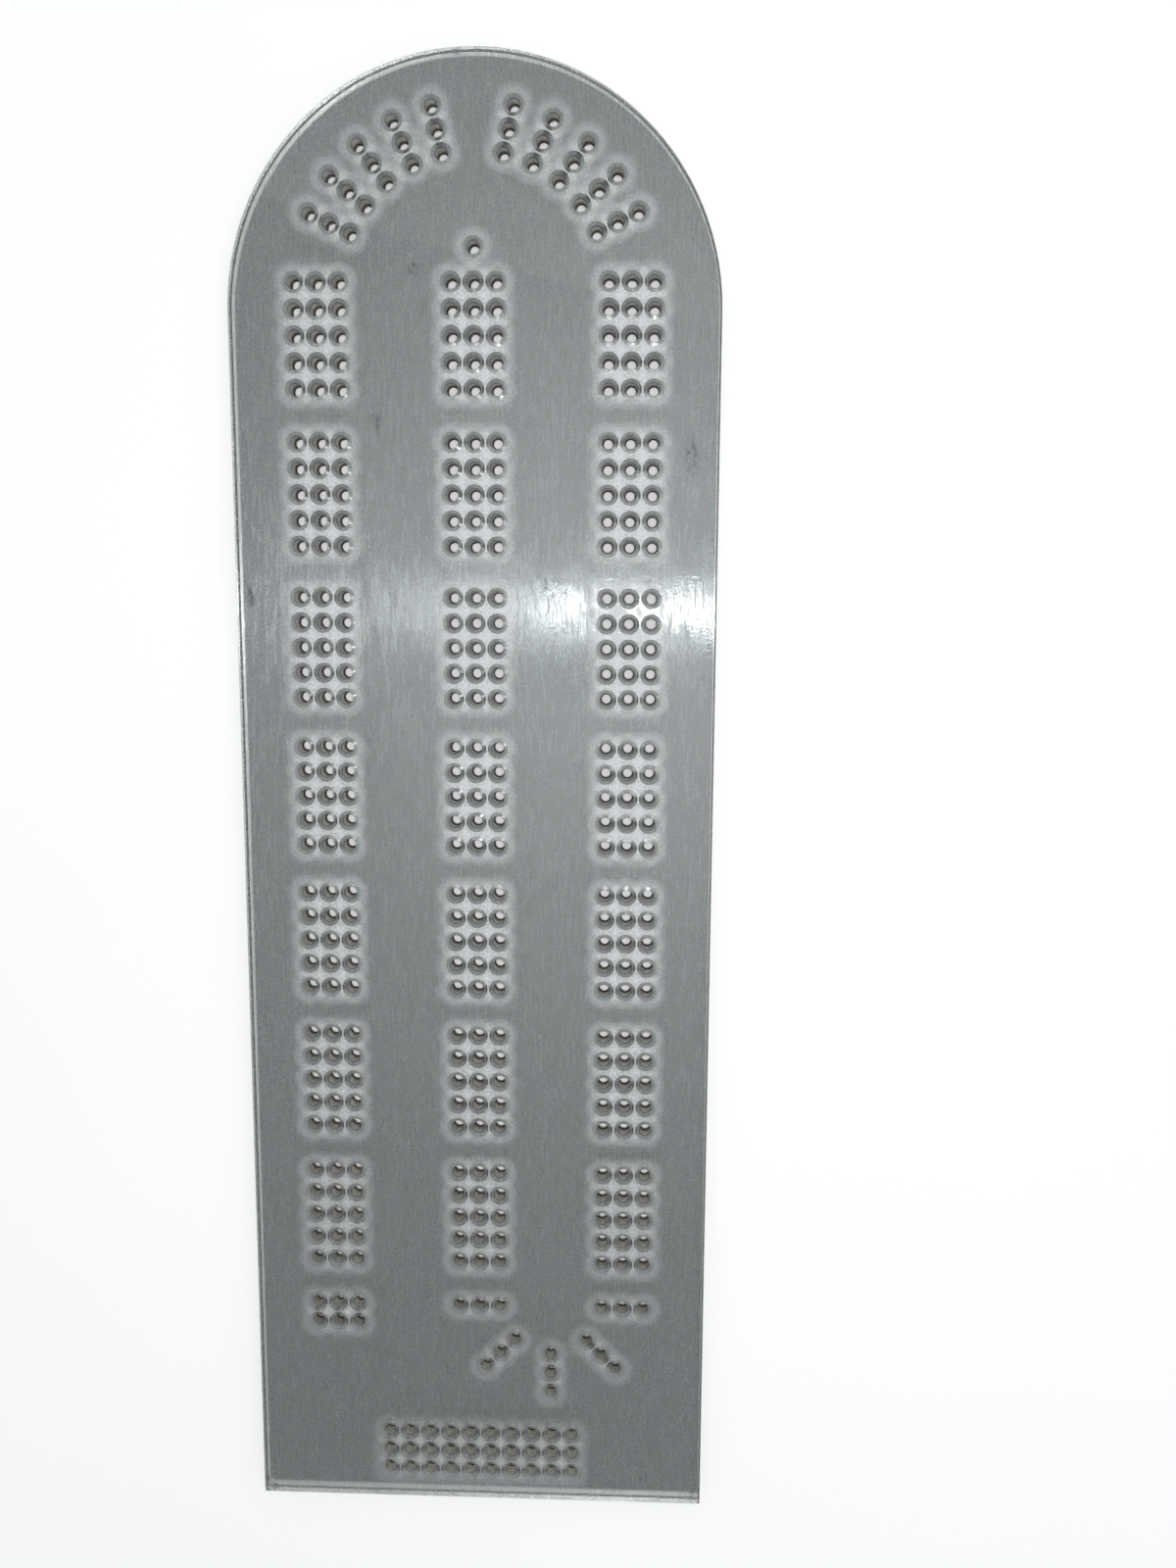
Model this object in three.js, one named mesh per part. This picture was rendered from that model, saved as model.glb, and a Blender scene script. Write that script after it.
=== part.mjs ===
// A three-player cribbage board for play with loose pegs.
//
// A clear acrylic face plate is bonded on a thin brushed aluminium back plate. Both have the same outline,
// a long board with one semicircular end and one square end, and the peg holes are drilled through both.
//
// +Y runs along the board to its rounded end and +Z is up, out of the clear face. The origin is the middle
// of the underside. All lengths are in millimetres.

import * as THREE from 'three';

// Driving dimensions
const BOARD_WIDTH = 137.5;
const BOARD_LENGTH = 428;
const BACK_THICKNESS = 1.0;
const FACE_THICKNESS = 4.5;

const LANE_PITCH = 6.35; // from one player's lane to the next
const ROW_PITCH = 7.2; // from one hole to the next along a lane
const COLUMN_PITCH = 43.9; // from one three-lane column to the next
const HOLE_DIAMETER = 3.3;

const LANES = 3;
const ROWS_PER_GROUP = 5;
const GROUPS_PER_COLUMN = 7;
const FIRST_ROW_TO_ARCH_CENTRE = 8.0; // the first row lies this far above the arch's centre
const FINISH_HOLE_RISE = 9.2; // from the middle column's first row to the finish hole

const TURN_RANKS = 5; // ranks of three holes on each side of the top turn
const TURN_STEP_DEGREES = 13;
const TURN_CENTRE_DROP = 3.1; // the top turn's centre lies this far below the first row

const RETURN_RANKS = 3; // ranks of three holes round the bottom turn
const RETURN_STEP_DEGREES = 45;

const COUNTER_COLUMNS = 10;
const COUNTER_ROWS = 3;
const COUNTER_PITCH = 6.35;
const COUNTER_EDGE_GAP = 9.4; // from the counter's last row to the square end

// How finely the solids are faceted
const ARCH_STEPS = 36;
const HOLE_SIDES = 6;

const ARCH_RADIUS = BOARD_WIDTH / 2;
const ARCH_CENTRE_Y = BOARD_LENGTH / 2 - ARCH_RADIUS;
const FIRST_ROW_Y = ARCH_CENTRE_Y + FIRST_ROW_TO_ARCH_CENTRE;
const GROUP_PITCH = (ROWS_PER_GROUP + 1) * ROW_PITCH; // one row is left out between two groups
const LAST_ROW_Y = FIRST_ROW_Y - GROUPS_PER_COLUMN * GROUP_PITCH; // where an eighth group would start

// Three holes side by side, one for each player, in the row at height y of the column centred on x.
function rowOfHoles(x, y) {
  const holes = [];
  for (let lane = 0; lane < LANES; lane += 1) {
    holes.push({ x: x + (lane - (LANES - 1) / 2) * LANE_PITCH, y });
  }
  return holes;
}

// Seven groups of five rows, from the first row downwards.
function columnOfHoles(x) {
  const holes = [];
  for (let group = 0; group < GROUPS_PER_COLUMN; group += 1) {
    for (let row = 0; row < ROWS_PER_GROUP; row += 1) {
      holes.push(...rowOfHoles(x, FIRST_ROW_Y - group * GROUP_PITCH - row * ROW_PITCH));
    }
  }
  return holes;
}

// Three holes in line with a turn's centre. The angle is measured from +X.
function rankOfHoles(centre, middleRadius, degrees) {
  const angle = THREE.MathUtils.degToRad(degrees);
  const holes = [];
  for (let lane = 0; lane < LANES; lane += 1) {
    const radius = middleRadius + (lane - (LANES - 1) / 2) * LANE_PITCH;
    holes.push({ x: centre.x + radius * Math.cos(angle), y: centre.y + radius * Math.sin(angle) });
  }
  return holes;
}

// The top turn leads from the left column over to the right one, with a gap at its middle.
function topTurnHoles() {
  const centre = { x: 0, y: FIRST_ROW_Y - TURN_CENTRE_DROP };
  const holes = [];
  for (let rank = 1; rank <= TURN_RANKS; rank += 1) {
    for (const side of [-1, 1]) {
      holes.push(...rankOfHoles(centre, COLUMN_PITCH, 90 + side * rank * TURN_STEP_DEGREES));
    }
  }
  return holes;
}

// The bottom turn leads from the right column back up into the middle one.
function bottomTurnHoles() {
  const centre = { x: COLUMN_PITCH / 2, y: LAST_ROW_Y };
  const holes = [];
  for (let rank = 0; rank < RETURN_RANKS; rank += 1) {
    const degrees = -90 + (rank - (RETURN_RANKS - 1) / 2) * RETURN_STEP_DEGREES;
    holes.push(...rankOfHoles(centre, COLUMN_PITCH / 2, degrees));
  }
  return holes;
}

// The counter that keeps the score of games, at the square end.
function counterHoles() {
  const holes = [];
  for (let row = 0; row < COUNTER_ROWS; row += 1) {
    for (let column = 0; column < COUNTER_COLUMNS; column += 1) {
      holes.push({
        x: (column - (COUNTER_COLUMNS - 1) / 2) * COUNTER_PITCH,
        y: -BOARD_LENGTH / 2 + COUNTER_EDGE_GAP + row * COUNTER_PITCH,
      });
    }
  }
  return holes;
}

function allHoles() {
  return [
    ...columnOfHoles(-COLUMN_PITCH),
    ...columnOfHoles(0),
    ...columnOfHoles(COLUMN_PITCH),
    ...topTurnHoles(),
    ...bottomTurnHoles(),
    ...counterHoles(),
    { x: 0, y: FIRST_ROW_Y + FINISH_HOLE_RISE }, // the finish hole
    ...rowOfHoles(-COLUMN_PITCH, LAST_ROW_Y), // the two start rows
    ...rowOfHoles(-COLUMN_PITCH, LAST_ROW_Y - LANE_PITCH),
    ...rowOfHoles(0, LAST_ROW_Y), // the single rows at the ends of the bottom turn
    ...rowOfHoles(COLUMN_PITCH, LAST_ROW_Y),
  ];
}

// The outline runs up the right side, round the arch and down the left side.
function boardOutline() {
  const outline = new THREE.Shape();
  outline.moveTo(-ARCH_RADIUS, -BOARD_LENGTH / 2);
  outline.lineTo(ARCH_RADIUS, -BOARD_LENGTH / 2);
  for (let step = 0; step <= ARCH_STEPS; step += 1) {
    const angle = (Math.PI * step) / ARCH_STEPS;
    outline.lineTo(ARCH_RADIUS * Math.cos(angle), ARCH_CENTRE_Y + ARCH_RADIUS * Math.sin(angle));
  }
  return outline;
}

// A hole is a regular polygon with the area of its circle.
function holePath(hole) {
  const corner = (2 * Math.PI) / HOLE_SIDES;
  const radius = (HOLE_DIAMETER / 2) * Math.sqrt(corner / Math.sin(corner));
  const path = new THREE.Path();
  for (let side = 0; side < HOLE_SIDES; side += 1) {
    const x = hole.x + radius * Math.cos(side * corner);
    const y = hole.y + radius * Math.sin(side * corner);
    if (side === 0) {
      path.moveTo(x, y);
    } else {
      path.lineTo(x, y);
    }
  }
  path.closePath();
  return path;
}

function drilledPlate(name, thickness, bottom, material) {
  const shape = boardOutline();
  shape.holes = allHoles().map(holePath);
  const geometry = new THREE.ExtrudeGeometry(shape, { depth: thickness, bevelEnabled: false, curveSegments: 1 });
  const plate = new THREE.Mesh(geometry, material);
  plate.name = name;
  plate.position.z = bottom;
  return plate;
}

const clearAcrylic = new THREE.MeshStandardMaterial({ color: 0xdfe6e6, roughness: 0.05, metalness: 0 });
const brushedAluminium = new THREE.MeshStandardMaterial({ color: 0xa6abab, roughness: 0.35, metalness: 1 });

const board = new THREE.Group();
board.add(drilledPlate('aluminium_back_plate', BACK_THICKNESS, 0, brushedAluminium));
board.add(drilledPlate('acrylic_face_plate', FACE_THICKNESS, BACK_THICKNESS, clearAcrylic));

export default board;
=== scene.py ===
# The looks of a cribbage board: a clear acrylic face plate bonded on a brushed aluminium back plate,
# with countersunk peg holes drilled right through both. Lengths are in metres, in the frame of the
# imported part: +Y along the board to its rounded end, +Z up, the origin in the middle of the underside.

import math
import random

import bpy
from mathutils import Matrix, Vector
from mathutils.geometry import delaunay_2d_cdt
from mathutils.kdtree import KDTree


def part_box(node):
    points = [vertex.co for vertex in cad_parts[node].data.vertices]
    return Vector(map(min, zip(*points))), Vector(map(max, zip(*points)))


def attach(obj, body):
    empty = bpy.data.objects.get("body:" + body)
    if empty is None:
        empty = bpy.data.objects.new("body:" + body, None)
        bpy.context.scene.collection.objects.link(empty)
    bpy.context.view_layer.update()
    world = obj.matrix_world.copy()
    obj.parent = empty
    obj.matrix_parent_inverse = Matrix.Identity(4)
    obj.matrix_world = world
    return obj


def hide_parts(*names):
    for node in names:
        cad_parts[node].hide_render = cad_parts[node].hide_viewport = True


MM = 0.001

# The board, in metres
HOLE_RADIUS = 1.65 * MM  # in the acrylic
METAL_HOLE_RADIUS = 1.3 * MM
RIM_RADIUS = 2.95 * MM  # of a countersink at the clear face
COUNTERSINK_DEPTH = 1.05 * MM
EASED_EDGE = 0.18 * MM
BURR_HEIGHT = 0.22 * MM
BURR_SIZE = 0.16 * MM
BURR_LENGTHS = (0, 3, 5, 8)  # in segments of the hole
BOND_GAP = 0.02 * MM  # keeps the two plates' faces from lying in one plane

ACRYLIC_THICKNESS = 4.5 * MM
ACRYLIC_INDEX = 1.49

# The lighter ring round each hole: painted light, a haze on the clear face for the lamp's light that the
# countersinks bend
PAINTED_HALO_RADIUS = 5.1 * MM  # where it has faded to half
PAINTED_HALO_REACH = 8 * MM
PAINTED_HALO_SHARPNESS = 13
PAINTED_HALO_SHARE = 0.43  # of the light, in the ring of a single hole
PAINTED_HALO_GRID = 0.75 * MM  # between the points that carry it
PAINTED_HALO_MARGIN = 0.3  # of the grid's step, between those points and a countersink

# The edge of the metal, as the light in the acrylic's edge leaves it
SEAM_WIDTH = 0.3 * MM  # of the dark line along it
GLOW_LINES = (0.05, 0.8, 1.15)  # the painted light of the bright border inside that: where it begins, starts to fade, ends
MIN_GLOW_WIDTH = 0.3 * MM

# The painted shade on the metal round each hole
LEDGE_RADII = (1.7 * MM, 1.8 * MM)  # the dark ledge of metal that shows inside a bore, and its fade
LEDGE_SHADE = 0.88
# What a countersink casts on it, from inside its rim outward: (radius, how dark)
RIM_SHADE = ((2.45 * MM, 0.42), (2.7 * MM, 0.65), (2.9 * MM, 0.65), (3.08 * MM, 0.0))
CLOSE_PITCH = 6.6 * MM  # holes closer than this darken the metal between them
CLOSE_SHADE = 0.45
CLOSE_SPREAD = 0.8  # cosine of the angle from the line between them at which that ends
LAMP_FALLOFF_POWER = 5  # of the cosine: 4 for a bare lamp, and a little is lost at a slant
CLEARANCE = 0.05 * MM  # between a ring of points and the next hole

METAL_DARK = (0.33, 0.34, 0.343)
METAL_LIGHT = (0.53, 0.545, 0.55)
WAVE_HEIGHT = 0.16 * MM  # of the metal sheet's slight unevenness
WIDE_GLOSS_SHARE = 0.72

SMUDGES = (  # on the metal: (x, y, half width, half length)
    (-27.8 * MM, 116.2 * MM, 1.6 * MM, 5.0 * MM),
    (-17.0 * MM, 157.2 * MM, 2.0 * MM, 2.5 * MM),
    (61.1 * MM, 106.9 * MM, 2.6 * MM, 6.5 * MM),
    (19.6 * MM, 71.0 * MM, 1.2 * MM, 5.0 * MM),
    (-65.5 * MM, 67.0 * MM, 1.5 * MM, 4.0 * MM),
)
FLOOR_GLOW = 0.4
FLOOR_HALF_SIZE = 3.0
FLOOR_DROP = 0.05 * MM  # under the board, so that the two don't share a plane

SIDE_SEGMENTS = 100
END_SEGMENTS = 40
HOLE_SEGMENTS = 32
ARCH_SEGMENTS = 144

# The lamp that lights the board from above, close to the camera, and the weak one there that glints
LAMP_PLACE = Vector((50, 62, 378)) * MM
LAMP_SIZE = 12 * MM
LAMP_WATTS = 0.095
GLINT_SIZE = 20 * MM
GLINT_WATTS = 0.08

# The soft light of the room
SOFTBOXES = (  # (name, place, watts), aimed at the middle of the board
    ("head_softbox", (0.3, 1.1, 0.9), 6),
    ("right_softbox", (1.2, -0.1, 0.8), 5.5),
)
SOFTBOX_SIZE = 2.0
ROOM_LIGHT = 0.385
ROOM_COLOUR = (0.93, 0.97, 1.0, 1)

# The camera, over the right side of the board and looking almost straight down
CAMERA_PLACE = Vector((45.36, 64.63, 371.24)) * MM
CAMERA_TARGET = Vector((32.51, 13.67, 5.5)) * MM
CAMERA_UP = Vector((-0.0105, 0.9904, -0.1376))
CAMERA_LENS = 29.25  # mm, on a sensor 36 mm high

# The material slots of both plates
FACE_SLOT = 0
EDGE_SLOT = 1
CUT_SLOT = 2  # the acrylic's countersinks, or the metal's bores
BORE_SLOT = 3  # the acrylic's bores

PLACES_PER_METRE = 1e6  # points nearer than a micron are the same point
SHARP_ANGLE = math.radians(20)
SEED = 7

# A Mix node's sockets for colours
MIX_FIRST = 6
MIX_SECOND = 7
MIX_RESULT = 2

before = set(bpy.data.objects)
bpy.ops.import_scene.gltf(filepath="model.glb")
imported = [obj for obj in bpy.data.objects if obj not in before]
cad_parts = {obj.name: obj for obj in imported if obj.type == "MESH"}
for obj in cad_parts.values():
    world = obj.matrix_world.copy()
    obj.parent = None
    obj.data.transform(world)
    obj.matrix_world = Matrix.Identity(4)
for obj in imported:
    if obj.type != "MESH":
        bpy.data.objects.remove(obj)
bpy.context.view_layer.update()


# ---------------------------------------------------------------- shapes


def micron_key(place):
    """The same key for every point at one place."""
    return tuple(round(value * PLACES_PER_METRE) for value in place)


def hole_centres(node):
    """The middle of each peg hole of a CAD plate: its upright faces, gathered into rings."""
    mesh = node.data
    ring_of = {}

    def root(vertex):
        while ring_of[vertex] != vertex:
            vertex = ring_of[vertex]
        return vertex

    place = {}
    for polygon in mesh.polygons:
        if abs(polygon.normal.z) > 0.5:
            continue
        corners = []
        for index in polygon.vertices:
            key = micron_key(mesh.vertices[index].co)
            place[key] = mesh.vertices[index].co
            ring_of.setdefault(key, key)
            corners.append(key)
        for corner in corners[1:]:
            ring_of[root(corner)] = root(corners[0])
    rings = {}
    for key in place:
        rings.setdefault(root(key), []).append(place[key])
    centres = []
    for ring in rings.values():
        middle = sum(ring, Vector()) / len(ring)
        if (ring[0].xy - middle.xy).length < 2 * RIM_RADIUS:
            centres.append((middle.x, middle.y))
    return sorted(centres)


def outline_points(low, high):
    """The board's outline as (x, y, outward step), round the arch and then the square end."""
    radius = high.x
    arch_y = high.y - high.x
    sides = [
        ((-radius, arch_y), (-radius, low.y), (-1, 0), SIDE_SEGMENTS),
        ((-radius, low.y), (radius, low.y), (0, -1), END_SEGMENTS),
        ((radius, low.y), (radius, arch_y), (1, 0), SIDE_SEGMENTS),
    ]
    points = []
    for step in range(ARCH_SEGMENTS + 1):
        angle = math.pi * step / ARCH_SEGMENTS
        outward = Vector((math.cos(angle), math.sin(angle)))
        points.append((radius * outward.x, arch_y + radius * outward.y, outward))
    before = (-1, 0)
    for start, end, outward, count in sides:
        for step in range(count):
            if step or before == outward:
                corner = Vector(outward)
            else:
                corner = Vector(before) + Vector(outward)
            place = Vector(start).lerp(Vector(end), step / count)
            if step or before != outward:
                points.append((place.x, place.y, corner))
        before = outward
    return points


def outline_loop(inset, low, high):
    """The outline, moved in by inset, or by inset(x, y, outward) if that's a function."""
    loop = []
    for x, y, outward in outline_points(low, high):
        depth = inset(x, y, outward) if callable(inset) else inset
        loop.append((x - outward.x * depth, y - outward.y * depth))
    return loop


def circle_loop(centre, radius, jitter=None):
    loop = []
    for step in range(HOLE_SEGMENTS):
        angle = 2 * math.pi * step / HOLE_SEGMENTS
        reach = radius
        if jitter:
            reach += jitter[step]
        loop.append((centre[0] + reach * math.cos(angle), centre[1] + reach * math.sin(angle)))
    return loop


class PlateMesh:
    """A flat plate with holes, gathered loop by loop. Each loop is a ring of vertices at one height."""

    def __init__(self):
        self.vertices = []
        self.faces = []
        self.slots = []

    def add_loop(self, points, z):
        first = len(self.vertices)
        self.vertices.extend((x, y, z) for x, y in points)
        return list(range(first, len(self.vertices)))

    def add_wall(self, lower, upper, slot, outward):
        count = len(lower)
        for step in range(count):
            after = (step + 1) % count
            quad = [lower[step], lower[after], upper[after], upper[step]]
            if not outward:
                quad.reverse()
            self.faces.append(quad)
            self.slots.append(slot)

    def add_cap(self, outline, holes, slot, upward, extra=()):
        """A flat face between the outline and the holes, through any extra vertices."""
        loops = [outline] + holes + [[index] for index in extra]
        indices = [index for loop in loops for index in loop]
        ring_of = {index: ring for ring, loop in enumerate(loops) for index in loop}
        edges = []
        start = 0
        for loop in loops:
            count = len(loop)
            if count > 1:
                edges.extend((start + step, start + (step + 1) % count) for step in range(count))
            start += count
        points = [Vector(self.vertices[index][:2]) for index in indices]
        result = delaunay_2d_cdt(points, edges, [], 1, 1e-9)
        source = [indices[originals[0]] for originals in result[3]]
        for triangle in result[2]:
            corners = [source[corner] for corner in triangle]
            rings = {ring_of[corner] for corner in corners}
            if len(rings) == 1 and 0 not in rings:
                continue  # inside a hole
            a, b, c = (Vector(self.vertices[corner]) for corner in corners)
            if ((b - a).cross(c - a).z > 0) != upward:
                corners.reverse()
            self.faces.append(corners)
            self.slots.append(slot)

    def build(self, name, materials):
        mesh = bpy.data.meshes.new(name)
        mesh.from_pydata(self.vertices, [], self.faces)
        for material in materials:
            mesh.materials.append(material)
        mesh.polygons.foreach_set("material_index", self.slots)
        mesh.shade_smooth()
        mesh.set_sharp_from_angle(angle=SHARP_ANGLE)
        mesh.update()
        piece = bpy.data.objects.new(name, mesh)
        bpy.context.scene.collection.objects.link(piece)
        return piece


def eased_levels(bottom, top):
    """The levels of a plate's edge, with its sharp corners taken off: (inset, z) from the bottom up."""
    return [
        (EASED_EDGE, bottom),
        (0, bottom + EASED_EDGE),
        (0, top - EASED_EDGE),
        (EASED_EDGE, top),
    ]


def drilled_plate(name, centres, outline_levels, hole_loops, materials, top_points):
    """A plate with its holes. outline_levels lists (inset, z) from the bottom up. hole_loops(centre)
    gives (points, z, slot) the same way, with the slot of the wall that rises from there."""
    low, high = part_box("acrylic_face_plate")
    plate = PlateMesh()
    outlines = [plate.add_loop(outline_loop(inset, low, high), z) for inset, z in outline_levels]
    for lower, upper in zip(outlines, outlines[1:]):
        plate.add_wall(lower, upper, EDGE_SLOT, outward=True)
    bottoms = []
    tops = []
    for centre in centres:
        levels = hole_loops(centre)
        rings = [plate.add_loop(points, z) for points, z, slot in levels]
        for (points, z, slot), lower, upper in zip(levels, rings, rings[1:]):
            plate.add_wall(lower, upper, slot, outward=False)
        bottoms.append(rings[0])
        tops.append(rings[-1])
    plate.add_cap(outlines[0], bottoms, FACE_SLOT, upward=False)
    extra = plate.add_loop(top_points, outline_levels[-1][1])
    plate.add_cap(outlines[-1], tops, FACE_SLOT, upward=True, extra=extra)
    return plate.build(name, materials)


def lamp_shift(x, y):
    """How far the lamp's light runs outward on its way down through the acrylic."""
    run = Vector((x, y)) - LAMP_PLACE.xy
    sine = math.sin(math.atan2(run.length, LAMP_PLACE.z)) / ACRYLIC_INDEX
    return run.normalized() * ACRYLIC_THICKNESS * math.tan(math.asin(sine))


def lamp_falloff(x, y):
    """How strong the lamp's light is, against its strength straight below the lamp."""
    run = (Vector((x, y)) - LAMP_PLACE.xy).length
    return math.cos(math.atan2(run, LAMP_PLACE.z)) ** LAMP_FALLOFF_POWER


def glow_width(x, y, outward):
    """How wide a strip of the metal is lit again by light that the acrylic's edge throws back."""
    return max(MIN_GLOW_WIDTH, lamp_shift(x, y).dot(outward.normalized()))


def rim_shade(distance):
    """How dark the metal is at a distance from the middle of a countersink's shade."""
    before, darkness = RIM_SHADE[0]
    if distance <= before:
        return darkness
    for radius, value in RIM_SHADE[1:]:
        if distance < radius:
            return darkness + (value - darkness) * (distance - before) / (radius - before)
        before, darkness = radius, value
    return 0.0


def facing_neighbour(tree, x, y):
    """How squarely a point round a hole faces the hole's closest neighbours, from 0 to 1."""
    centre, index, distance = tree.find((x, y, 0))
    if distance > 0.5 * CLOSE_PITCH or distance == 0.0:
        return 0.0
    direction = (Vector((x, y)) - centre.xy).normalized()
    most = 0.0
    for place, other, apart in tree.find_range(centre, CLOSE_PITCH):
        if other != index:
            facing = direction.dot((place.xy - centre.xy).normalized())
            most = max(most, (facing - CLOSE_SPREAD) / (1 - CLOSE_SPREAD))
    return most


def centre_tree(centres):
    tree = KDTree(len(centres))
    for index, (x, y) in enumerate(centres):
        tree.insert((x, y, 0), index)
    tree.balance()
    return tree


def painted_halo_at(tree, x, y):
    """How much painted light the clear face carries at a point: a ring round each hole, more where rings
    overlap.
    """
    total = 0.0
    for place, index, distance in tree.find_range((x, y, 0), PAINTED_HALO_REACH):
        total += 1 / (1 + (distance / PAINTED_HALO_RADIUS) ** PAINTED_HALO_SHARPNESS)
    return total * lamp_falloff(x, y)


def painted_halo_points(tree, low, high):
    """A fine grid of points in the rings where the painted halo of light fades, clear of the
    countersinks.
    """
    points = []
    columns = int((high.x - low.x) / PAINTED_HALO_GRID)
    rows = int((high.y - low.y) / PAINTED_HALO_GRID)
    for row in range(rows):
        for column in range(columns):
            x = low.x + (column + 0.5 + 0.5 * (row % 2)) * PAINTED_HALO_GRID
            y = low.y + (row + 0.5) * PAINTED_HALO_GRID
            distance = tree.find((x, y, 0))[2]
            inside = math.hypot(x, max(0.0, y - (high.y - high.x))) < high.x - PAINTED_HALO_GRID
            if inside and RIM_RADIUS + PAINTED_HALO_MARGIN * PAINTED_HALO_GRID < distance < PAINTED_HALO_REACH:
                points.append((x, y))
    return points


def on_top(vertex, high):
    return vertex.co.z > high.z - 0.5 * EASED_EDGE


def face_plate(centres, materials):
    low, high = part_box("acrylic_face_plate")
    bottom = low.z + BOND_GAP

    def hole_loops(centre):
        bore = circle_loop(centre, HOLE_RADIUS)
        return [
            (bore, bottom, BORE_SLOT),
            (bore, high.z - COUNTERSINK_DEPTH, CUT_SLOT),
            (circle_loop(centre, RIM_RADIUS), high.z, CUT_SLOT),
        ]

    levels = eased_levels(bottom, high.z)
    tree = centre_tree(centres)
    grid = painted_halo_points(tree, low, high)
    plate = drilled_plate("clear_face_plate", centres, levels, hole_loops, materials, grid)
    # painted light: the lighter halo round each hole, weaker away from the lamp
    painted_halo = plate.data.attributes.new("painted_halo", "FLOAT", "POINT")
    for vertex in plate.data.vertices:
        if on_top(vertex, high):
            painted_halo.data[vertex.index].value = painted_halo_at(tree, vertex.co.x, vertex.co.y)
    return plate


def shade_ring_points(tree, centres, shaded):
    """Points on the metal for its shade to change at: round each hole, and round its shade."""
    points = []
    rim_radii = [radius for radius, darkness in RIM_SHADE]
    for places, radii in ((centres, LEDGE_RADII), (shaded, rim_radii)):
        for place in places:
            for radius in radii:
                for x, y in circle_loop(place, radius)[::2]:
                    if tree.find((x, y, 0))[2] > METAL_HOLE_RADIUS + CLEARANCE:
                        points.append((x, y))
    return points


def glow_line(share, low, high):
    """A line along the outline, part or all of the way across the bright border."""
    return outline_loop(lambda x, y, outward: SEAM_WIDTH + share * glow_width(x, y, outward), low, high)


def paint_metal(plate, tree, shaded_tree, seam_line, bright_lines, low, high):
    """How dark or brightly lit the top of the metal is at each of its points."""
    shade = plate.data.attributes.new("shade", "FLOAT", "POINT")
    glow = plate.data.attributes.new("glow", "FLOAT", "POINT")
    bright = {micron_key(place) for line in bright_lines for place in line}
    dark = {micron_key(place) for place in seam_line}
    edge_count = len(outline_points(low, high))
    last_level = len(eased_levels(low.z, high.z)) - 1
    edge = range(last_level * edge_count, (last_level + 1) * edge_count)
    for vertex in plate.data.vertices:
        if not on_top(vertex, high):
            continue
        x, y = vertex.co.xy
        from_hole = tree.find((x, y, 0))[2]
        from_shade = shaded_tree.find((x, y, 0))[2]
        between = CLOSE_SHADE * facing_neighbour(shaded_tree, x, y)
        darkness = min(LEDGE_SHADE, rim_shade(from_shade) + between)
        if from_hole < LEDGE_RADII[0] + CLEARANCE:
            darkness = LEDGE_SHADE
        key = micron_key((x, y))
        if vertex.index in edge or key in dark:
            darkness = 1.0
        shade.data[vertex.index].value = darkness
        if key in bright:
            glow.data[vertex.index].value = 1.0


def back_plate(centres, materials, draw):
    low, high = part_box("aluminium_back_plate")

    def hole_loops(centre):
        burr = [0.0] * HOLE_SEGMENTS
        start = draw.randrange(HOLE_SEGMENTS)
        for step in range(draw.choice(BURR_LENGTHS)):
            burr[(start + step) % HOLE_SEGMENTS] = -BURR_SIZE * draw.random()
        bore = circle_loop(centre, METAL_HOLE_RADIUS)
        return [
            (circle_loop(centre, METAL_HOLE_RADIUS, burr), low.z, CUT_SLOT),
            (bore, low.z + BURR_HEIGHT, CUT_SLOT),
            (bore, high.z, CUT_SLOT),
        ]

    levels = eased_levels(low.z, high.z)
    tree = centre_tree(centres)
    shaded = [Vector(centre) + lamp_shift(*centre) for centre in centres]
    seam_line = outline_loop(SEAM_WIDTH, low, high)
    glow_lines = [glow_line(share, low, high) for share in GLOW_LINES]
    extra = shade_ring_points(tree, centres, shaded) + seam_line
    for line in glow_lines:
        extra.extend(line)
    plate = drilled_plate("brushed_back_plate", centres, levels, hole_loops, materials, extra)
    paint_metal(plate, tree, centre_tree(shaded), seam_line, glow_lines[:-1], low, high)
    return plate


# ---------------------------------------------------------------- materials


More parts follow.
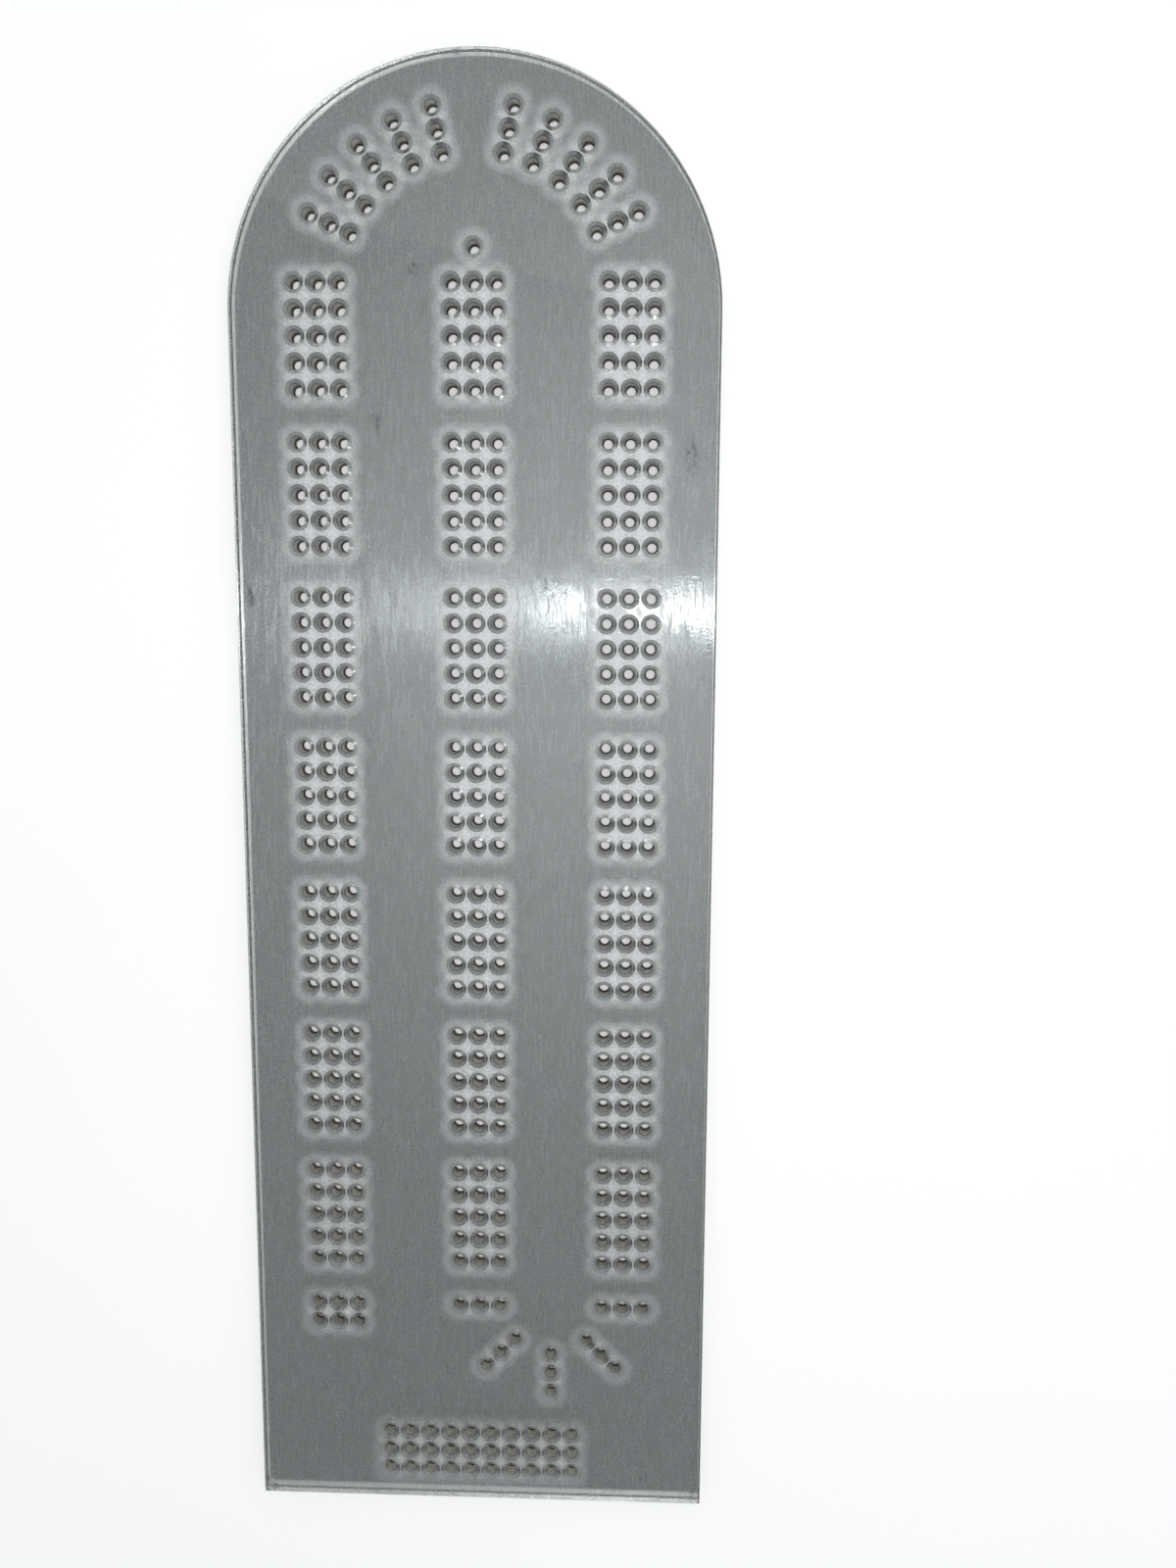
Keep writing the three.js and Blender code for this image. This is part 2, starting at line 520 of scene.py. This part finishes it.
class Nodes:
    """Short names for building a node tree."""

    def __init__(self, name):
        self.material = bpy.data.materials.new(name)
        self.material.use_nodes = True
        self.tree = self.material.node_tree
        self.shader = self.tree.nodes["Principled BSDF"]

    def add(self, kind, **settings):
        node = self.tree.nodes.new(kind)
        for name, value in settings.items():
            setattr(node, name, value)
        return node

    def link(self, output, socket):
        self.tree.links.new(output, socket)

    def set(self, **values):
        for name, value in values.items():
            self.shader.inputs[name.replace("_", " ")].default_value = value

    def noise(self, scale, stretch=(1, 1, 1), detail=3.0, roughness=0.55):
        """Noise over the object's own coordinates, with scale in features per metre."""
        coordinates = self.add("ShaderNodeTexCoord")
        mapping = self.add("ShaderNodeMapping")
        mapping.inputs["Scale"].default_value = stretch
        texture = self.add("ShaderNodeTexNoise")
        texture.inputs["Scale"].default_value = scale
        texture.inputs["Detail"].default_value = detail
        texture.inputs["Roughness"].default_value = roughness
        self.link(coordinates.outputs["Object"], mapping.inputs["Vector"])
        self.link(mapping.outputs["Vector"], texture.inputs["Vector"])
        return texture.outputs["Fac"]

    def map_range(self, value, low, high, to_low, to_high):
        node = self.add("ShaderNodeMapRange")
        node.inputs["From Min"].default_value = low
        node.inputs["From Max"].default_value = high
        node.inputs["To Min"].default_value = to_low
        node.inputs["To Max"].default_value = to_high
        self.link(value, node.inputs["Value"])
        return node.outputs["Result"]

    def blend_values(self, first, second, share):
        node = self.add("ShaderNodeMix", data_type="FLOAT")
        node.inputs["Factor"].default_value = share
        self.link(first, node.inputs["A"])
        self.link(second, node.inputs["B"])
        return node.outputs["Result"]

    def ramp(self, value, *stops):
        node = self.add("ShaderNodeValToRGB")
        elements = node.color_ramp.elements
        while len(elements) < len(stops):
            elements.new(0.5)
        for element, (position, colour) in zip(elements, stops):
            element.position = position
            element.color = (*colour, 1.0)
        self.link(value, node.inputs["Fac"])
        return node.outputs["Color"]

    def smudge(self, x, y, half_width, half_length):
        """1 in the middle of a long round mark on the board, falling to 0 at its rim."""
        coordinates = self.add("ShaderNodeTexCoord")
        mapping = self.add("ShaderNodeMapping", vector_type="TEXTURE")
        mapping.inputs["Location"].default_value = (x, y, 0)
        mapping.inputs["Scale"].default_value = (half_width, half_length, 1)
        reach = self.add("ShaderNodeVectorMath", operation="LENGTH")
        self.link(coordinates.outputs["Object"], mapping.inputs["Vector"])
        self.link(mapping.outputs["Vector"], reach.inputs[0])
        return self.map_range(reach.outputs["Value"], 0.3, 1.0, 1.0, 0.0)

    def multiply(self, first, second):
        node = self.add("ShaderNodeMath", operation="MULTIPLY")
        self.link(first, node.inputs[0])
        self.link(second, node.inputs[1])
        return node.outputs["Value"]

    def darken(self, colour, share):
        """The colour with a share of it taken away."""
        node = self.add("ShaderNodeMix", data_type="RGBA")
        self.link(share, node.inputs["Factor"])
        self.link(colour, node.inputs[MIX_FIRST])
        node.inputs[MIX_SECOND].default_value = (0, 0, 0, 1)
        return node.outputs[MIX_RESULT]

    def bump(self, height, strength, distance):
        node = self.add("ShaderNodeBump")
        node.inputs["Strength"].default_value = strength
        node.inputs["Distance"].default_value = distance
        self.link(height, node.inputs["Height"])
        self.link(node.outputs["Normal"], self.shader.inputs["Normal"])
        return node.outputs["Normal"]


def let_lamps_through(nodes, tint):
    """Lets lamps light what is under the acrylic straight through it. The eye still sees it bent."""
    output = nodes.tree.nodes["Material Output"]
    surface = output.inputs["Surface"].links[0].from_socket
    path = nodes.add("ShaderNodeLightPath")
    clear = nodes.add("ShaderNodeBsdfTransparent")
    clear.inputs["Color"].default_value = (*tint, 1)
    mix = nodes.add("ShaderNodeMixShader")
    nodes.link(path.outputs["Is Shadow Ray"], mix.inputs["Fac"])
    nodes.link(surface, mix.inputs[1])
    nodes.link(clear.outputs["BSDF"], mix.inputs[2])
    nodes.link(mix.outputs["Shader"], output.inputs["Surface"])


def polished_acrylic():
    """The clear cast faces, with faint smears, and a painted halo of light round each hole, laid on as a
    diffuse haze.
    """
    nodes = Nodes("polished_acrylic")
    nodes.set(Transmission_Weight=1.0, IOR=ACRYLIC_INDEX, Base_Color=(0.97, 0.985, 0.98, 1))
    smears = nodes.noise(22, detail=4.0)
    nodes.link(nodes.map_range(smears, 0.35, 0.75, 0.0, 0.03), nodes.shader.inputs["Roughness"])
    # painted light: a diffuse haze in the halo round each hole stands in for the light the countersinks
    # bend
    painted_halo = nodes.add("ShaderNodeAttribute", attribute_name="painted_halo")
    mottle = nodes.map_range(nodes.noise(1400, detail=2.0), 0.3, 0.7, 0.75, 1.25)
    share = nodes.add("ShaderNodeMath", operation="MULTIPLY")
    nodes.link(nodes.map_range(painted_halo.outputs["Fac"], 0.0, 2.6, 0.0, 2.6 * PAINTED_HALO_SHARE), share.inputs[0])
    nodes.link(mottle, share.inputs[1])
    halo_diffuse = nodes.add("ShaderNodeBsdfDiffuse")
    halo_diffuse.inputs["Color"].default_value = (0.93, 0.94, 0.94, 1)
    mix = nodes.add("ShaderNodeMixShader")
    nodes.link(share.outputs["Value"], mix.inputs["Fac"])
    nodes.link(nodes.shader.outputs["BSDF"], mix.inputs[1])
    nodes.link(halo_diffuse.outputs["BSDF"], mix.inputs[2])
    nodes.link(mix.outputs["Shader"], nodes.tree.nodes["Material Output"].inputs["Surface"])
    let_lamps_through(nodes, (0.95, 0.96, 0.96))
    return nodes.material


def sawn_acrylic():
    """The board's edge as the saw left it: frosted, with fine upright marks."""
    nodes = Nodes("sawn_acrylic")
    nodes.set(Transmission_Weight=0.8, IOR=ACRYLIC_INDEX, Base_Color=(0.45, 0.45, 0.43, 1))
    marks = nodes.noise(2200, stretch=(1, 1, 0.15), detail=2.0)
    nodes.link(nodes.map_range(marks, 0.3, 0.7, 0.1, 0.35), nodes.shader.inputs["Roughness"])
    nodes.bump(marks, 0.3, 0.03 * MM)
    let_lamps_through(nodes, (0.9, 0.92, 0.92))
    return nodes.material


def machined_acrylic(name, colour, clarity, low_roughness, high_roughness):
    """Countersinks and bores, slightly hazed by the tool."""
    nodes = Nodes(name)
    nodes.set(Transmission_Weight=clarity, IOR=ACRYLIC_INDEX, Base_Color=(*colour, 1))
    marks = nodes.noise(700, stretch=(1, 1, 4), detail=2.0)
    nodes.link(
        nodes.map_range(marks, 0.3, 0.7, low_roughness, high_roughness),
        nodes.shader.inputs["Roughness"],
    )
    let_lamps_through(nodes, tuple(value**2 for value in colour))
    return nodes.material


def add_dust(nodes, tone):
    """Small dark specks, far apart."""
    dust = nodes.add("ShaderNodeTexVoronoi")
    dust.inputs["Scale"].default_value = 28
    coordinates = nodes.add("ShaderNodeTexCoord")
    nodes.link(coordinates.outputs["Object"], dust.inputs["Vector"])
    speck = nodes.map_range(dust.outputs["Distance"], 0.008, 0.013, 0.3, 1.0)
    dusty = nodes.add("ShaderNodeMix", data_type="RGBA", blend_type="MULTIPLY")
    dusty.inputs["Factor"].default_value = 1.0
    nodes.link(tone, dusty.inputs[MIX_FIRST])
    nodes.link(speck, dusty.inputs[MIX_SECOND])
    return dusty.outputs[MIX_RESULT]


def add_glow(nodes, tone):
    """The painted light of the bright border, white where it is strongest."""
    glow = nodes.add("ShaderNodeAttribute", attribute_name="glow")
    brighten = nodes.add("ShaderNodeMix", data_type="RGBA")
    nodes.link(nodes.map_range(glow.outputs["Fac"], 0.0, 1.0, 0.0, 0.8), brighten.inputs["Factor"])
    nodes.link(tone, brighten.inputs[MIX_FIRST])
    brighten.inputs[MIX_SECOND].default_value = (1, 1, 1, 1)
    return brighten.outputs[MIX_RESULT]


def brushed_aluminium():
    """Satin aluminium, its grain along the board: a narrow gloss across the grain, and a wide one."""
    nodes = Nodes("brushed_aluminium")
    streaks = nodes.noise(1300, stretch=(1, 0.1, 1), detail=3.0, roughness=0.75)
    patches = nodes.noise(110, stretch=(1, 0.5, 1), detail=3.0)
    specks = nodes.noise(1900, stretch=(1, 0.8, 1), detail=1.0, roughness=0.8)
    waves = nodes.noise(45, stretch=(1, 0.7, 1), detail=4.0)
    grain = nodes.blend_values(streaks, specks, 0.85)
    tone = nodes.ramp(grain, (0.38, METAL_DARK), (0.62, METAL_LIGHT))
    wide = nodes.add("ShaderNodeBsdfPrincipled")
    unevenness = nodes.blend_values(streaks, patches, 0.42)
    spreads = (
        (nodes.shader, nodes.map_range(unevenness, 0.38, 0.62, 0.08, 0.38)),
        (wide, nodes.map_range(grain, 0.35, 0.65, 0.58, 0.7)),
    )
    tone = add_dust(nodes, tone)
    dirt_noise = nodes.noise(700, stretch=(1, 0.7, 1), detail=3.0)
    dirt = nodes.map_range(dirt_noise, 0.47, 0.6, 0.0, 0.6)
    for mark in SMUDGES:
        tone = nodes.darken(tone, nodes.multiply(nodes.smudge(*mark), dirt))
    # painted shade round the holes (the shade attribute) and painted light of the bright border
    # (add_glow) go into the metal's colour
    shade = nodes.add("ShaderNodeAttribute", attribute_name="shade")
    tone = add_glow(nodes, nodes.darken(tone, shade.outputs["Fac"]))
    height = nodes.blend_values(grain, waves, 0.88)
    normal = nodes.bump(height, 1.0, WAVE_HEIGHT)
    for shader, spread in spreads:
        shader.inputs["Metallic"].default_value = 1.0
        nodes.link(tone, shader.inputs["Base Color"])
        nodes.link(spread, shader.inputs["Roughness"])
        nodes.link(normal, shader.inputs["Normal"])
    nodes.set(Anisotropic=1.0)
    tangent = nodes.add("ShaderNodeTangent", direction_type="RADIAL", axis="Y")
    nodes.link(tangent.outputs["Tangent"], nodes.shader.inputs["Tangent"])
    mix = nodes.add("ShaderNodeMixShader")
    mix.inputs["Fac"].default_value = WIDE_GLOSS_SHARE
    nodes.link(nodes.shader.outputs["BSDF"], mix.inputs[1])
    nodes.link(wide.outputs["BSDF"], mix.inputs[2])
    nodes.link(mix.outputs["Shader"], nodes.tree.nodes["Material Output"].inputs["Surface"])
    return nodes.material


def cut_aluminium(name, tone):
    """Sheared edges and drilled walls of the aluminium."""
    nodes = Nodes(name)
    nodes.set(Metallic=1.0)
    marks = nodes.noise(1500, stretch=(1, 1, 0.1), detail=2.0)
    dark = tuple(0.7 * value for value in tone)
    nodes.link(nodes.ramp(marks, (0.3, dark), (0.7, tone)), nodes.shader.inputs["Base Color"])
    nodes.link(nodes.map_range(marks, 0.3, 0.7, 0.35, 0.6), nodes.shader.inputs["Roughness"])
    nodes.bump(marks, 0.4, 0.05 * MM)
    return nodes.material


def pale_floor():
    """A white table that glows a little, as if lit from below."""
    nodes = Nodes("pale_floor")
    nodes.set(Roughness=0.8, Specular_IOR_Level=0.2, Emission_Strength=FLOOR_GLOW)
    tone = nodes.ramp(nodes.noise(4, detail=2.0), (0.3, (0.94, 0.94, 0.94)), (0.7, (0.96, 0.96, 0.96)))
    nodes.link(tone, nodes.shader.inputs["Base Color"])
    nodes.link(tone, nodes.shader.inputs["Emission Color"])
    return nodes.material


# ---------------------------------------------------------------- stage


def add_floor(material):
    size = FLOOR_HALF_SIZE
    mesh = bpy.data.meshes.new("floor")
    corners = [(-size, -size, 0), (size, -size, 0), (size, size, 0), (-size, size, 0)]
    mesh.from_pydata(corners, [], [(0, 1, 2, 3)])
    mesh.materials.append(material)
    floor = bpy.data.objects.new("floor", mesh)
    floor.location.z = -FLOOR_DROP
    bpy.context.scene.collection.objects.link(floor)


def add_area_light(name, place, target, size, power, shape="SQUARE"):
    """A lamp whose light passes straight through the acrylic, so it isn't seen through it as well."""
    light = bpy.data.lights.new(name, "AREA")
    light.shape = shape
    light.size = size
    light.energy = power
    lamp = bpy.data.objects.new(name, light)
    lamp.location = place
    lamp.rotation_euler = (Vector(target) - Vector(place)).to_track_quat("-Z", "Y").to_euler()
    lamp.visible_transmission = False
    bpy.context.scene.collection.objects.link(lamp)
    return lamp


def add_camera():
    camera = bpy.data.objects.new("camera", bpy.data.cameras.new("camera"))
    camera.data.lens = CAMERA_LENS
    camera.data.sensor_width = 36
    camera.data.clip_start = 0.01
    backward = (CAMERA_PLACE - CAMERA_TARGET).normalized()
    right = CAMERA_UP.cross(backward).normalized()
    up = backward.cross(right)
    turn = Matrix((right, up, backward)).transposed().to_4x4()
    camera.matrix_world = Matrix.Translation(CAMERA_PLACE) @ turn
    bpy.context.scene.collection.objects.link(camera)
    bpy.context.scene.camera = camera


def add_world(colour, strength):
    world = bpy.data.worlds.new("soft_room")
    world.use_nodes = True
    world.cycles.sampling_method = "NONE"  # seen through the acrylic only as the acrylic bends it
    background = world.node_tree.nodes["Background"]
    background.inputs["Color"].default_value = colour
    background.inputs["Strength"].default_value = strength
    bpy.context.scene.world = world


bpy.context.scene.view_settings.view_transform = "Standard"
add_camera()
add_world(ROOM_COLOUR, ROOM_LIGHT)
for name, place, watts in SOFTBOXES:
    add_area_light(name, place, (0, 0, 0), SOFTBOX_SIZE, watts)
lamp_foot = LAMP_PLACE * Vector((1, 1, 0))
add_area_light("near_camera_lamp", LAMP_PLACE, lamp_foot, LAMP_SIZE, LAMP_WATTS, shape="DISK")
glint_lamp = add_area_light("glint_lamp", LAMP_PLACE, lamp_foot, GLINT_SIZE, GLINT_WATTS, shape="DISK")
glint_lamp.visible_transmission = True
add_floor(pale_floor())

# ---------------------------------------------------------------- the board

draw = random.Random(SEED)
centres = hole_centres(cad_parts["acrylic_face_plate"])

clear_plate = face_plate(
    centres,
    [
        polished_acrylic(),
        sawn_acrylic(),
        machined_acrylic("countersunk_acrylic", (0.95, 0.97, 0.96), 0.9, 0.03, 0.08),
        machined_acrylic("drilled_acrylic", (0.5, 0.48, 0.42), 0.4, 0.2, 0.4),
    ],
)
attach(clear_plate, "root")
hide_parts("acrylic_face_plate")

metal_plate = back_plate(
    centres,
    [
        brushed_aluminium(),
        cut_aluminium("sheared_aluminium", (0.55, 0.56, 0.56)),
        cut_aluminium("drilled_aluminium", (0.3, 0.29, 0.27)),
    ],
    draw,
)
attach(metal_plate, "root")
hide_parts("aluminium_back_plate")
